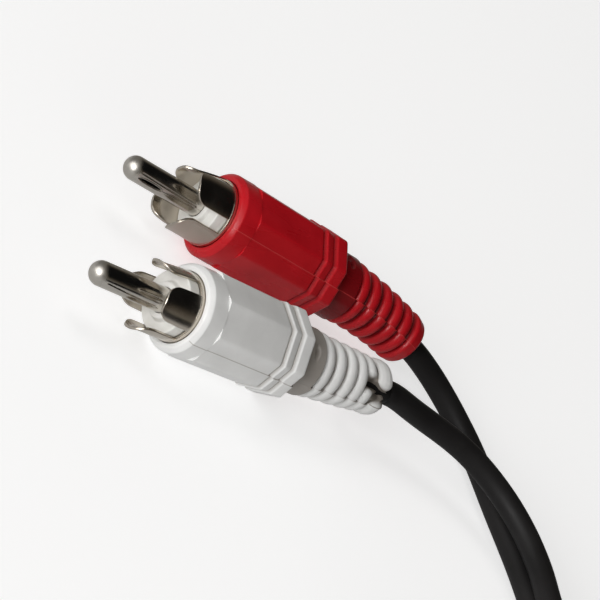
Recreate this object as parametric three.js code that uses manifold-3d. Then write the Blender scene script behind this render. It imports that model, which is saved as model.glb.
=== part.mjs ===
// A stereo phono lead: a white plug and a red plug on two thin black cords that lie side by side.
// Each cord is wound into one layer pair of a common coil, and ends in a second plug of its colour.
// Millimetres, +Z up. The plugs lie on the plane z = 0, and the white one points along -Y.
import * as THREE from 'three';
import { mergeVertices } from 'three/addons/utils/BufferGeometryUtils.js';
import Module from 'manifold-3d';

const wasm = await Module();
wasm.setup();

// Clearance that every piece keeps from its neighbours.
const GAP = 0.3;

// Centre pin, rolled from sheet: radius, wall, and the centre of its round tip.
const PIN_R = 1.6;
const PIN_WALL = 0.4;
const PIN_BALL_X = 16.26;
const PIN_REAR_X = -1.8;
const PIN_SLOT = { from: 11.8, to: 16.0, width: 0.5, angle: -30 };

// Outer contact: a sprung sleeve with four petals.
const SLEEVE_R = 4.55;
const SLEEVE_WALL = 0.38;
const SLEEVE_REAR_X = -1.8;
const SLEEVE_TIP_X = 8.95;
const SLEEVE_PINCH_R = 4.36;
const SLEEVE_PINCH_X = 7.3;
const SLEEVE_FLARE_R = 4.68;
const SLOT_COUNT = 4;
const SLOT_WIDTH = 2.1;
const SLOT_BOTTOM_X = 3.35;
const SLOT_TURN = -7.5;
const PETAL_CORNER = 1.2;

// Insulator: a disc across the sleeve with a boss round the pin.
const DISC_FRONT_X = 5.15;
const DISC_THICK = 1.35;
const BOSS_R = 2.35;
const BOSS_HIGH = 0.6;
const STEM_R = 2.45;
const STEM_REAR_X = -1.4;

// Moulded boot: round collar, octagonal body with two steps, neck and ribbed strain relief.
const GRIP_WALL = 1.1;
const COLLAR_WALL = 1.17;
const AXIS_HIGH = SLEEVE_R + GRIP_WALL;
const CORNER_R = AXIS_HIGH / Math.cos(Math.PI / 8);
const COLLAR_R = SLEEVE_R + COLLAR_WALL;
const COLLAR_LONG = 3.05;
const COLLAR_LIP = 0.75;
const STEP_DEEP = 0.235;
const FOOT_R = CORNER_R - STEP_DEEP;
const STEP_1_X = -11.3;
const STEP_2_X = -13.45;
const STEP_RAMP = 0.55;
const BODY_LONG = 15.2;
const NECK_R = 4.4;
const RIB_PITCH = 2.15;
const RIB_FIRST_X = -20.55;
const RIB_RADII = [4.2, 4.04, 3.92, 3.8, 3.7];
const RIB_GROOVE = 0.42;
const CAP_R = 3.6;
const BOOT_LONG = 32.6;
const HALF_SHIFT = 0.36;
const SEAM = 0.04;
const CAVITY_R = 3.3;
const CAVITY_REAR_X = -15.8;
const BEND_FROM_X = -17;
const WINDOW = { angle: 46, width: 1.0, slant: -11 };

// Cord and what is inside the boot.
const CORD_D = 3.2;
const CORE_R = 0.75;
const SCREEN_R = 0.35;

// How the plugs lie: middle of the collar step, turn from -Y, roll about the axis, then how far the
// cord pulls the boot's end to the side and up, and how late along the ribs that bend comes.
const WHITE = { x: 9.905, y: -14.866, yaw: 0, roll: 0, swing: 0, sag: 0.67, late: 1.7 };
const RED = { x: -9.61, y: -1.836, yaw: -8.557, roll: 29.67, swing: 0.95, sag: -1.45, late: 2.2 };
const FAR_WHITE = { x: 109.906, y: -8.252, yaw: 3, roll: 0, swing: 0, sag: 0, late: 2 };
const FAR_RED = { x: 126.061, y: -10.251, yaw: -2, roll: 90, swing: 0, sag: 0, late: 2 };

// Coil: a common centre, and for each cord two layers of four turns.
const COIL = { x: 74.0, y: 22.6, inner: 14.3, turns: 4 };
const TIE = { thick: 0.6, wide: 5.0 };

const CORD_R = CORD_D / 2;
const BORE_R = CORD_R + GAP;

const rad = THREE.MathUtils.degToRad;

// A copy of a geometry with shared vertices merged and collapsed triangles dropped.
function weld(geometry) {
  const bare = geometry.clone();
  bare.deleteAttribute('normal');
  bare.deleteAttribute('uv');
  const merged = mergeVertices(bare, 1e-4);
  const corners = merged.index.array;
  const kept = [];
  for (let i = 0; i < corners.length; i += 3) {
    const a = corners[i];
    const b = corners[i + 1];
    const c = corners[i + 2];
    if (a !== b && b !== c && c !== a) {
      kept.push(a, b, c);
    }
  }
  merged.setIndex(kept);
  return merged;
}

// The solid inside a closed geometry.
function solid(geometry) {
  const shell = weld(geometry);
  const mesh = new wasm.Mesh({
    numProp: 3,
    vertProperties: new Float32Array(shell.attributes.position.array),
    triVerts: new Uint32Array(shell.index.array),
  });
  return new wasm.Manifold(mesh);
}

// The geometry of a solid.
function shellOf(body) {
  const mesh = body.getMesh();
  const geometry = new THREE.BufferGeometry();
  geometry.setAttribute('position', new THREE.BufferAttribute(new Float32Array(mesh.vertProperties), 3));
  geometry.setIndex(new THREE.BufferAttribute(new Uint32Array(mesh.triVerts), 1));
  return geometry;
}

// A turned shape about the X axis from [x, radius] pairs, listed from the rear to the tip.
function turned(profile, sides) {
  const points = profile.map(([x, r]) => new THREE.Vector2(r, x));
  const geometry = new THREE.LatheGeometry(points, sides);
  geometry.rotateZ(-Math.PI / 2);
  return geometry;
}

// A turned tube: the outer line runs rear to tip and the inner line closes it.
function turnedTube(outer, inner, sides) {
  return turned([...outer, ...[...inner].reverse(), outer[0]], sides);
}

// A prism with octagonal sections given as [x, corner radius], rear to tip.
function octagonLoft(sections) {
  const vertices = [];
  const faces = [];
  for (const [x, r] of sections) {
    for (let k = 0; k < 8; k += 1) {
      const angle = rad(22.5 + 45 * k);
      vertices.push(x, r * Math.cos(angle), r * Math.sin(angle));
    }
  }
  for (let s = 0; s + 1 < sections.length; s += 1) {
    for (let k = 0; k < 8; k += 1) {
      const a = 8 * s + k;
      const b = 8 * s + (k + 1) % 8;
      faces.push(a, b, a + 8, b, b + 8, a + 8);
    }
  }
  const last = 8 * (sections.length - 1);
  for (let k = 1; k < 7; k += 1) {
    faces.push(0, k + 1, k);
    faces.push(last, last + k, last + k + 1);
  }
  const geometry = new THREE.BufferGeometry();
  geometry.setAttribute('position', new THREE.Float32BufferAttribute(vertices, 3));
  geometry.setIndex(faces);
  return geometry;
}

// A cutter through a wall: a flat outline in (x, width) pushed outward from near to far at an angle.
function radialCutter(outline, near, far, angle) {
  const shape = new THREE.Shape(outline.map(([x, w]) => new THREE.Vector2(x, w)));
  const geometry = new THREE.ExtrudeGeometry(shape, { depth: far - near, bevelEnabled: false });
  geometry.translate(0, 0, near);
  geometry.rotateX(rad(angle - 90));
  return geometry;
}

// Bends the part of a boot or lead behind the neck, as its cord pulls it. Sections stay square to
// the bent axis.
function sagged(geometry, lie) {
  const bent = geometry.clone();
  const place = bent.attributes.position;
  const roll = rad(lie.roll);
  const dy = lie.swing * Math.cos(roll) + lie.sag * Math.sin(roll);
  const dz = lie.sag * Math.cos(roll) - lie.swing * Math.sin(roll);
  const long = BEND_FROM_X + BOOT_LONG;
  for (let i = 0; i < place.count; i += 1) {
    const along = (BEND_FROM_X - place.getX(i)) / long;
    if (along > 0) {
      const share = along ** lie.late;
      const rate = (-lie.late * along ** (lie.late - 1)) / long;
      const slope = Math.hypot(rate * dy, rate * dz, 1);
      const y = place.getY(i);
      const z = place.getZ(i);
      const lean = (y * dy + z * dz) * rate;
      const turn = (lean * rate) / (slope + slope * slope);
      place.setX(i, place.getX(i) - lean / slope);
      place.setY(i, y + dy * (share - turn));
      place.setZ(i, z + dz * (share - turn));
    }
  }
  return bent;
}

// Centre pin with a round tip, a bore from the rear and a lens-shaped seam opening.
function centrePin(sides) {
  const outer = [[PIN_REAR_X, PIN_R], [PIN_BALL_X, PIN_R]];
  const boreR = PIN_R - PIN_WALL;
  const inner = [[PIN_REAR_X, boreR], [PIN_BALL_X - 0.4, boreR], [PIN_BALL_X + 0.6, boreR * 0.5]];
  for (const turn of [22.5, 45, 67.5]) {
    outer.push([PIN_BALL_X + PIN_R * Math.sin(rad(turn)), PIN_R * Math.cos(rad(turn))]);
  }
  outer.push([PIN_BALL_X + PIN_R, 0]);
  inner.push([PIN_BALL_X + 0.6, 0]);
  const profile = [...[...inner].reverse(), ...outer];
  const middle = (PIN_SLOT.from + PIN_SLOT.to) / 2;
  const lens = [
    [PIN_SLOT.from, 0],
    [middle - 1, -PIN_SLOT.width / 2],
    [PIN_SLOT.to - 0.5, -PIN_SLOT.width / 2],
    [PIN_SLOT.to, 0],
    [PIN_SLOT.to - 0.5, PIN_SLOT.width / 2],
    [middle - 1, PIN_SLOT.width / 2],
  ];
  const cutter = radialCutter(lens, PIN_R - 1, PIN_R + 0.6, PIN_SLOT.angle);
  return shellOf(solid(turned(profile, sides)).subtract(solid(cutter)));
}

// Outline of the gap between two petals: square at the bottom, opening round the petal corners.
function slotOutline() {
  const half = SLOT_WIDTH / 2;
  const side = [];
  for (const turn of [0, 30, 60, 90]) {
    side.push([
      SLEEVE_TIP_X - PETAL_CORNER + PETAL_CORNER * Math.sin(rad(turn)),
      half + PETAL_CORNER * (1 - Math.cos(rad(turn))),
    ]);
  }
  side.push([SLEEVE_TIP_X + 1, half + PETAL_CORNER]);
  const lower = side.map(([x, w]) => [x, -w]);
  return [[SLOT_BOTTOM_X, -half], ...lower, ...side.reverse(), [SLOT_BOTTOM_X, half]];
}

// Outer contact: a sleeve pinched in along its petals and flared at the tips.
function outerContact(sides) {
  const line = [
    [SLEEVE_REAR_X, SLEEVE_R],
    [SLOT_BOTTOM_X, SLEEVE_R],
    [SLEEVE_PINCH_X, SLEEVE_PINCH_R],
    [SLEEVE_TIP_X - 0.7, SLEEVE_PINCH_R + 0.1],
    [SLEEVE_TIP_X, SLEEVE_FLARE_R],
  ];
  const inside = line.map(([x, r]) => [x, r - SLEEVE_WALL]);
  let sleeve = solid(turnedTube(line, inside, sides));
  for (let k = 0; k < SLOT_COUNT; k += 1) {
    const angle = SLOT_TURN + (360 / SLOT_COUNT) * k;
    sleeve = sleeve.subtract(solid(radialCutter(slotOutline(), 3, 6.5, angle)));
  }
  return shellOf(sleeve);
}

// Insulator with the pin's hole through it.
function insulator(sides) {
  const discR = SLEEVE_R - SLEEVE_WALL - GAP - 0.06;
  const bore = PIN_R + GAP;
  const outer = [
    [STEM_REAR_X, STEM_R],
    [DISC_FRONT_X - DISC_THICK, STEM_R],
    [DISC_FRONT_X - DISC_THICK, discR],
    [DISC_FRONT_X, discR],
    [DISC_FRONT_X, BOSS_R],
    [DISC_FRONT_X + BOSS_HIGH, BOSS_R],
  ];
  const inner = [[STEM_REAR_X, bore], [DISC_FRONT_X + BOSS_HIGH, bore]];
  return turnedTube(outer, inner, sides);
}

// Outer line of the neck, ribs and end cap, shifted along the axis for one mould half.
function reliefProfile(shift) {
  const line = [];
  RIB_RADII.forEach((r, i) => {
    const x = RIB_FIRST_X - RIB_PITCH * i + shift;
    line.unshift([x + 0.95, r - RIB_GROOVE]);
    line.unshift([x + 0.45, r]);
    line.unshift([x - 0.65, r - 0.1]);
  });
  const capX = RIB_FIRST_X - RIB_PITCH * RIB_RADII.length + shift;
  const cap = [
    [-BOOT_LONG, 0],
    [-BOOT_LONG, CAP_R - 1.4],
    [-BOOT_LONG + 0.3, CAP_R - 0.7],
    [-BOOT_LONG + 0.75, CAP_R - 0.2],
    [capX, CAP_R],
    [capX + 0.75, CAP_R - 0.1],
    [capX + 1.15, CAP_R - RIB_GROOVE],
  ];
  const neck = [
    [RIB_FIRST_X + shift + 1.35, NECK_R - 0.08],
    [-BODY_LONG - 0.2, NECK_R],
    [-BODY_LONG + 1.2, NECK_R],
    [-BODY_LONG + 1.2, 0],
  ];
  return [...cap, ...line, ...neck];
}

// Strain relief: two mould halves whose ribs don't quite line up across the parting plane.
function strainRelief(sides) {
  const reach = 2 * NECK_R;
  const wide = new THREE.BoxGeometry(2 * BOOT_LONG, 2 * reach, reach);
  wide.translate(-BOOT_LONG / 2, 0, 0);
  const upper = solid(wide.clone().translate(0, 0, reach / 2 - SEAM));
  const lower = solid(wide.clone().translate(0, 0, -reach / 2));
  const facet = Math.PI / sides;
  const ahead = turned(reliefProfile(HALF_SHIFT / 2), sides).rotateX(facet);
  const behind = turned(reliefProfile(-HALF_SHIFT / 2), sides).rotateX(facet);
  return solid(ahead).intersect(upper).add(solid(behind).intersect(lower));
}

// Slanted opening through the last ribs, where the moulding leaves the cord bare.
function reliefWindow() {
  const half = WINDOW.width / 2;
  const front = RIB_FIRST_X - RIB_PITCH * 3.45;
  const outline = [
    [-BOOT_LONG - 1, -half],
    [front - 0.4, -half],
    [front, 0],
    [front - 0.4, half],
    [-BOOT_LONG - 1, half],
  ];
  const geometry = radialCutter(outline, 1.0, 6, 90);
  geometry.translate(-front, 0, 0);
  geometry.rotateZ(rad(WINDOW.slant));
  geometry.translate(front, 0, 0);
  geometry.rotateX(rad(WINDOW.angle - 90));
  return geometry;
}

// Places along the cord's bore, close enough for the bore and the cord's end to bend as one.
function boreStations() {
  const stations = [];
  for (let i = 0; i <= 9; i += 1) {
    stations.push(-BOOT_LONG + (i * (BOOT_LONG + CAVITY_REAR_X)) / 9);
  }
  return stations;
}

// One-piece moulded boot, hollow for the contacts in front and for the cord behind.
function boot(sides, windowed) {
  const body = octagonLoft([
    [-BODY_LONG, CORNER_R - 0.38],
    [-BODY_LONG + 0.45, CORNER_R - 0.05],
    [STEP_2_X, CORNER_R],
    [STEP_2_X + STEP_RAMP, FOOT_R + 0.04],
    [STEP_1_X, CORNER_R - 0.02],
    [STEP_1_X + STEP_RAMP, FOOT_R],
    [0, CORNER_R],
  ]);
  const collar = turned([
    [-1, 0],
    [-1, COLLAR_R],
    [COLLAR_LONG - COLLAR_LIP, COLLAR_R],
    [COLLAR_LONG - 0.2, COLLAR_R - 0.45],
    [COLLAR_LONG, SLEEVE_R + GAP + 0.12],
    [COLLAR_LONG, 0],
  ], sides);
  const bore = turned([
    [-BOOT_LONG - 1, 0],
    [-BOOT_LONG - 1, BORE_R],
    ...boreStations().map((x) => [x, BORE_R]),
    [CAVITY_REAR_X + 1, BORE_R],
    [CAVITY_REAR_X + 1, 0],
  ], 12);
  const hollow = turned([
    [CAVITY_REAR_X, 0],
    [CAVITY_REAR_X, CAVITY_R],
    [SLEEVE_REAR_X - GAP, CAVITY_R],
    [SLEEVE_REAR_X - GAP, SLEEVE_R + GAP],
    [COLLAR_LONG + 1, SLEEVE_R + GAP],
    [COLLAR_LONG + 1, 0],
  ], sides);
  const outside = solid(body).add(solid(collar)).add(strainRelief(sides));
  let shape = outside.subtract(solid(hollow).add(solid(bore)));
  if (windowed) {
    shape = shape.subtract(solid(reliefWindow()));
  }
  return shellOf(shape);
}

// End of the cord's jacket, moulded into the boot.
function leadEnd(sides) {
  const rear = -BOOT_LONG - GAP;
  const front = CAVITY_REAR_X - GAP;
  const along = boreStations().filter((x) => x > rear && x < front).map((x) => [x, CORD_R]);
  return turned([[rear, 0], [rear, CORD_R], ...along, [front, CORD_R], [front, 0]], sides);
}

// Insulated centre conductor from the cord to the pin.
function conductor() {
  const from = CAVITY_REAR_X + GAP;
  const to = PIN_REAR_X - GAP;
  return turned([[from, 0], [from, CORE_R], [to, CORE_R], [to, 0]], 10);
}

// Twisted screen wires from the cord to the sleeve, beside the conductor.
function screenWire() {
  const from = CAVITY_REAR_X + GAP;
  const to = STEM_REAR_X - 2 * GAP;
  const wire = turned([[from, 0], [from, SCREEN_R], [to, SCREEN_R], [to, 0]], 8);
  wire.translate(0, 0, CAVITY_R - SCREEN_R - GAP);
  return wire;
}

const finishes = {
  nickel: { color: 0xb9b4ab, roughness: 0.22, metalness: 1.0 },
  white: { color: 0xe2e2df, roughness: 0.42, metalness: 0.0 },
  red: { color: 0xb3141a, roughness: 0.38, metalness: 0.0 },
  ivory: { color: 0xe6e3da, roughness: 0.45, metalness: 0.0 },
  black: { color: 0x1b1b1c, roughness: 0.45, metalness: 0.0 },
  copper: { color: 0xb87345, roughness: 0.35, metalness: 1.0 },
  clear: { color: 0xd8d6cf, roughness: 0.4, metalness: 0.0 },
};

// A named mesh with a material of its own.
function piece(name, geometry, finish) {
  const mesh = new THREE.Mesh(geometry, new THREE.MeshStandardMaterial(finishes[finish]));
  mesh.name = name;
  return mesh;
}

// Height of a plug's axis when an octagon rolled by this much lies on the plane.
function restHeight(roll) {
  const off = Math.abs(((roll % 45) + 67.5) % 45 - 22.5);
  return Math.max(COLLAR_R, CORNER_R * Math.cos(rad(22.5 - off)));
}

// One whole plug, laid down as its placing says.
function plug(prefix, colour, lie, sides, windowed) {
  const group = new THREE.Group();
  const small = Math.round(sides * 0.75);
  group.add(piece(`${prefix}_pin`, centrePin(small), 'nickel'));
  group.add(piece(`${prefix}_sleeve`, outerContact(sides), 'nickel'));
  group.add(piece(`${prefix}_insulator`, insulator(small), 'ivory'));
  group.add(piece(`${prefix}_boot`, sagged(boot(sides, windowed), lie), colour));
  group.add(piece(`${prefix}_lead_end`, sagged(leadEnd(8), lie), 'black'));
  group.add(piece(`${prefix}_conductor`, conductor(), 'clear'));
  group.add(piece(`${prefix}_screen`, screenWire(), 'copper'));
  group.position.set(lie.x, lie.y, restHeight(lie.roll));
  group.rotation.set(rad(lie.roll), 0, rad(lie.yaw - 90), 'ZYX');
  return group;
}

// A cord tube through its points; the section's lowest edge stays on its circle.
function cordTube(points) {
  const section = new THREE.Shape();
  for (let k = 0; k < 8; k += 1) {
    const angle = rad(45 * k);
    const x = CORD_R * Math.cos(angle);
    const y = CORD_R * Math.sin(angle);
    if (k === 0) {
      section.moveTo(x, y);
    } else {
      section.lineTo(x, y);
    }
  }
  section.closePath();
  const path = new THREE.CatmullRomCurve3(points.map((p) => new THREE.Vector3(...p)));
  const steps = Math.max(4, Math.round(path.getLength() / (2 * CORD_D)));
  return new THREE.ExtrudeGeometry(section, { steps, bevelEnabled: false, extrudePath: path });
}

// One cord's two layers of turns as a plain ring between two heights.
function coilRing(low, high) {
  const outer = COIL.inner + CORD_D * (COIL.turns - 0.5);
  const inner = COIL.inner - CORD_R;
  const ring = new THREE.LatheGeometry([
    new THREE.Vector2(inner, low),
    new THREE.Vector2(outer - 0.8, low),
    new THREE.Vector2(outer, low + 0.8),
    new THREE.Vector2(outer, high - 0.8),
    new THREE.Vector2(outer - 0.8, high),
    new THREE.Vector2(inner, high),
    new THREE.Vector2(inner, low),
  ], 36);
  ring.rotateX(Math.PI / 2);
  ring.translate(COIL.x, COIL.y, 0);
  return ring;
}

// Flat tie round the coil's bundle on its far side.
function tieBand(high) {
  const inner = COIL.inner - CORD_R - GAP;
  const outer = COIL.inner + CORD_D * (COIL.turns - 0.5) + GAP;
  const t = TIE.thick;
  const band = new THREE.Shape([
    new THREE.Vector2(inner - t, 0),
    new THREE.Vector2(outer + t, 0),
    new THREE.Vector2(outer + t, high),
    new THREE.Vector2(inner - t, high),
  ]);
  const hole = new THREE.Path([
    new THREE.Vector2(inner, t),
    new THREE.Vector2(inner, high - t),
    new THREE.Vector2(outer, high - t),
    new THREE.Vector2(outer, t),
  ]);
  band.holes.push(hole);
  const strap = new THREE.ExtrudeGeometry(band, { depth: TIE.wide, bevelEnabled: false });
  strap.translate(0, 0, -TIE.wide / 2);
  strap.rotateX(Math.PI / 2);
  strap.rotateZ(-Math.PI / 2);
  strap.translate(COIL.x, COIL.y, 0);
  return strap;
}

// Cord routes as centre points. The near ends leave the boots, the far ends leave the coil.
// The white cord comes down onto the red one and rides along it.
const WHITE_NEAR = [
  [9.905, 18.73, 6.46], [9.93, 20.1, 6.5], [10.35, 23.44, 6.15], [11.19, 27.47, 5.8], [12.39, 31.35, 5.7],
  [13.69, 34.05, 5.62], [15.49, 36.57, 5.46], [17.81, 38.8, 5.28], [20.43, 40.5, 5.13],
  [23.48, 41.71, 5.0], [26.69, 42.29, 4.93], [30.56, 42.31, 4.91], [34.18, 41.9, 4.93],
  [40.0, 42.2, 5.15], [46.5, 43.8, 5.6], [52.6, 45.1, 6.25], [58.6, 45.75, 7.0],
];
const RED_NEAR = [
  [-3.54, 31.23, 4.42], [-2.77, 33.07, 4.02], [-2.1, 34.61, 3.57], [-1.28, 36.06, 3.14],
  [-0.4, 37.2, 2.79], [0.74, 38.32, 2.46], [1.9, 39.28, 2.18], [3.18, 40.07, 1.96], [4.47, 40.73, 1.79],
  [7.73, 41.59, 1.66], [11.54, 41.98, 1.65], [16.22, 42.22, 1.65], [21.73, 42.65, 1.65],
  [27.53, 42.98, 1.65], [33.5, 42.95, 1.65], [40.0, 43.35, 1.65], [46.5, 44.4, 1.66],
  [52.6, 45.2, 1.75], [58.9, 45.65, 1.9],
];
const WHITE_FAR = [
  [87.4, 46.75, 11.3], [96.0, 45.0, 9.4], [101.5, 41.4, 7.6], [105.6, 36.4, 6.3], [107.7, 30.6, 5.8],
  [108.17, 24.9, 5.7],
];
const RED_FAR = [
  [87.4, 46.75, 4.8], [98.0, 46.0, 2.6], [107.0, 43.6, 1.75], [115.4, 39.6, 1.85], [122.0, 34.4, 2.8],
  [125.6, 30.4, 4.2], [126.9, 26.6, 5.3], [127.23, 23.1, 5.63],
];

const layerHigh = 2 * CORD_D + 0.1;
const coilLow = TIE.thick + GAP;
const lowTop = coilLow + layerHigh;
const highTop = lowTop + GAP + layerHigh;

// Brings the middle of the box round the near plugs over the origin.
const MIDDLE_Y = 0.83;

const laid = new THREE.Group();
laid.position.set(0, MIDDLE_Y, 0);
laid.add(plug('white_near', 'white', WHITE, 24, true));
laid.add(plug('red_near', 'red', RED, 24, false));
laid.add(plug('white_far', 'white', FAR_WHITE, 14, false));
laid.add(plug('red_far', 'red', FAR_RED, 14, false));
laid.add(piece('white_cord_near', cordTube(WHITE_NEAR), 'black'));
laid.add(piece('red_cord_near', cordTube(RED_NEAR), 'black'));
laid.add(piece('white_cord_far', cordTube(WHITE_FAR), 'black'));
laid.add(piece('red_cord_far', cordTube(RED_FAR), 'black'));
laid.add(piece('red_coil', coilRing(coilLow, lowTop), 'black'));
laid.add(piece('white_coil', coilRing(lowTop + GAP, highTop), 'black'));
laid.add(piece('coil_tie', tieBand(highTop + GAP + TIE.thick), 'black'));

const lead = new THREE.Group();
lead.add(laid);

export default lead;
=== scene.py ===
import math
import bpy
import numpy as np
from mathutils import Matrix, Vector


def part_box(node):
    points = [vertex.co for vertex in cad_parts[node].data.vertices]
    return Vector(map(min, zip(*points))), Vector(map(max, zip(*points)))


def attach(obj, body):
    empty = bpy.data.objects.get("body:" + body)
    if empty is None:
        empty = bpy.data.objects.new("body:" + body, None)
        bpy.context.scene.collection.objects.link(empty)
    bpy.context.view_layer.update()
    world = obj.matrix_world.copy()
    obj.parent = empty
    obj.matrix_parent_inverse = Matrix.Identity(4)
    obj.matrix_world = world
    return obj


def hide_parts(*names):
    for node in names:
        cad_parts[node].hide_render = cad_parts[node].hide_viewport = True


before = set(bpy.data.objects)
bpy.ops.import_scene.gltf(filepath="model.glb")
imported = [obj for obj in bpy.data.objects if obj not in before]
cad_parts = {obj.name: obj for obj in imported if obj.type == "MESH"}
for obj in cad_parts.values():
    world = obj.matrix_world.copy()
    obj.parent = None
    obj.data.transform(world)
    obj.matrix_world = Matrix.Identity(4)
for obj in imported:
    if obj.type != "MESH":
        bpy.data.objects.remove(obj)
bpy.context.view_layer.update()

# The view.
# A long lens looks down on the tips of the two near plugs. Its picture is turned, so that the plugs
# run from the upper left to the lower right and the surface they lie on fills the frame.

view_data = bpy.data.cameras.new("view")
view_data.sensor_width = 36.0
view_data.lens = 367.85
view_data.clip_end = 20.0
camera = bpy.data.objects.new("view", view_data)
bpy.context.scene.collection.objects.link(camera)
view_right = (0.256241, 0.672286, 0.694530)
view_up = (-0.763454, -0.299932, 0.571995)
view_back = (0.592856, -0.676810, 0.436405)
view_from = (0.451168, -0.507537, 0.338907)
camera.matrix_world = Matrix([*zip(view_right, view_up, view_back, view_from), (0.0, 0.0, 0.0, 1.0)])
bpy.context.scene.camera = camera
bpy.context.scene.view_settings.view_transform = "Standard"

# The cords.
# Two thin round leads in black vinyl, extruded over a lapped copper screen. The white plug's cord
# comes down onto the red plug's and rides along it. The spare length is wound, one coil on the other.

MM = 0.001
MIDDLE_Y = 0.83
CORD_D = 3.2
CORD_STEP = 0.8
COIL_X, COIL_Y, COIL_R = 74.0, 22.6, 14.3
COIL_PITCH = 3.25
TURNS_A_LAYER = 3.0
RED_LAYERS = (2.5, 5.75)
WHITE_LAYERS = (9.3, 12.55)

# Each cord's middle line in millimetres: from its near plug to the coil, and from there to its far
# plug. MIDDLE_Y then moves the whole lead along, so that the near plugs stand about the origin.
WHITE_NEAR = [
    (9.905, 18.73, 6.46), (9.93, 20.1, 6.5), (10.35, 23.44, 6.15), (11.19, 27.47, 5.8),
    (12.39, 31.35, 5.7), (13.69, 34.05, 5.62), (15.49, 36.57, 5.46), (17.81, 38.8, 5.28),
    (20.43, 40.5, 5.13), (23.48, 41.71, 5.0), (26.69, 42.29, 4.93), (30.56, 42.31, 4.91),
    (34.18, 41.9, 4.93), (40.0, 42.2, 5.15), (46.5, 43.8, 5.6), (52.6, 45.1, 6.25),
    (58.6, 45.95, 7.1), (65.0, 46.5, 8.4),
]
RED_NEAR = [
    (-3.54, 31.23, 4.42), (-2.77, 33.07, 4.02), (-2.1, 34.61, 3.57), (-1.28, 36.06, 3.14),
    (-0.4, 37.2, 2.79), (0.74, 38.32, 2.46), (1.9, 39.28, 2.18), (3.18, 40.07, 1.96),
    (4.47, 40.73, 1.79), (7.73, 41.59, 1.66), (11.54, 41.98, 1.65), (16.22, 42.22, 1.65),
    (21.73, 42.65, 1.65), (27.53, 42.98, 1.65), (33.5, 42.95, 1.65), (40.0, 43.35, 1.65),
    (46.5, 44.4, 1.66), (52.6, 45.2, 1.75), (58.9, 45.9, 1.9), (66.0, 46.5, 2.3),
]
WHITE_FAR = [
    (82.0, 46.8, 11.9), (87.4, 46.75, 11.3), (96.0, 45.0, 9.4), (101.5, 41.4, 7.6),
    (105.6, 36.4, 6.3), (107.7, 30.6, 5.8), (108.17, 24.9, 5.7),
]
RED_FAR = [
    (82.0, 46.8, 5.4), (87.4, 46.75, 4.8), (98.0, 46.0, 2.6), (107.0, 43.6, 1.75),
    (115.4, 39.6, 1.85), (122.0, 34.4, 2.8), (125.6, 30.4, 4.2), (126.9, 26.6, 5.3),
    (127.23, 23.1, 5.68),
]


def coil_turns(low, high):
    """Three turns spiralling in on the low layer, a climb that hugs the hole, and three turns out
    on the high layer: the radius falls and rises by one pitch a turn, clockwise from the top."""
    turn = np.linspace(0.0, 2 * TURNS_A_LAYER, 6 * 24 + 1)
    after = turn - TURNS_A_LAYER
    radius = COIL_R + COIL_PITCH * np.abs(after)
    radius = radius - 0.75 * np.exp(-(((after - 0.2) / 0.17) ** 2))
    climb = np.clip(after / 0.55, 0.0, 1.0)
    climb = climb * climb * (3.0 - 2.0 * climb)
    angle = math.pi / 2 - 2.0 * math.pi * turn
    return np.stack([
        COIL_X + radius * np.cos(angle), COIL_Y + radius * np.sin(angle), low + (high - low) * climb,
    ], axis=1)


def smooth_line(points, step):
    """Natural cubic curve through the points over their chord length, cut into even steps, and the
    curve's length. Its second slopes m solve the usual three-row system a m = b."""
    p = np.asarray(points, float)
    h = np.linalg.norm(np.diff(p, axis=0), axis=1)
    t = np.concatenate([[0.0], np.cumsum(h)])
    n = len(p)
    a = np.zeros((n, n))
    b = np.zeros((n, 3))
    i = np.arange(1, n - 1)
    a[0, 0] = a[-1, -1] = 1.0
    a[i, i - 1] = h[:-1]
    a[i, i] = 2.0 * (h[:-1] + h[1:])
    a[i, i + 1] = h[1:]
    slope = np.diff(p, axis=0) / h[:, None]
    b[1:-1] = 6.0 * np.diff(slope, axis=0)
    m = np.linalg.solve(a, b)
    q = np.linspace(0.0, t[-1], int(t[-1] / 0.1))
    k = np.clip(np.searchsorted(t, q, side="right") - 1, 0, n - 2)
    u = (q - t[k])[:, None]
    v = (t[k + 1] - q)[:, None]
    hk = h[k][:, None]
    fine = (m[k] * v ** 3 + m[k + 1] * u ** 3) / (6.0 * hk)
    fine += (p[k] / hk - m[k] * hk / 6.0) * v + (p[k + 1] / hk - m[k + 1] * hk / 6.0) * u
    run = np.concatenate([[0.0], np.cumsum(np.linalg.norm(np.diff(fine, axis=0), axis=1))])
    even = np.linspace(0.0, run[-1], int(run[-1] / step) + 1)
    return np.stack([np.interp(even, run, fine[:, c]) for c in range(3)], axis=1), run[-1]


def grid_mesh(name, points, poles=True):
    """Mesh from a grid of rings, rows along the piece and columns round it. The columns close on
    themselves. With poles the first and last rows are fans to one point, else the rows close too."""
    rows, columns = points.shape[:2]
    ring = np.arange(columns)
    ahead = (ring + 1) % columns
    if poles:
        verts = np.concatenate([points[:1].mean(1), points.reshape(-1, 3), points[-1:].mean(1)])
        first = 1 + columns * np.arange(rows - 1)[:, None]
        after = first + columns
        last = 1 + columns * (rows - 1)
        top = len(verts) - 1
        fans = [np.stack([np.zeros(columns, int), 1 + ahead, 1 + ring], axis=1),
                np.stack([last + ring, last + ahead, np.full(columns, top)], axis=1)]
    else:
        verts = points.reshape(-1, 3)
        first = columns * np.arange(rows)[:, None]
        after = columns * ((np.arange(rows) + 1) % rows)[:, None]
        fans = []
    quads = np.stack([first + ring, first + ahead, after + ahead, after + ring], axis=2)
    faces = quads.reshape(-1, 4).tolist()
    for fan in fans:
        faces += fan.tolist()
    mesh = bpy.data.meshes.new(name)
    mesh.from_pydata((verts * MM).tolist(), [], faces)
    mesh.shade_smooth()
    piece = bpy.data.objects.new(name, mesh)
    bpy.context.scene.collection.objects.link(piece)
    return piece


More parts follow.
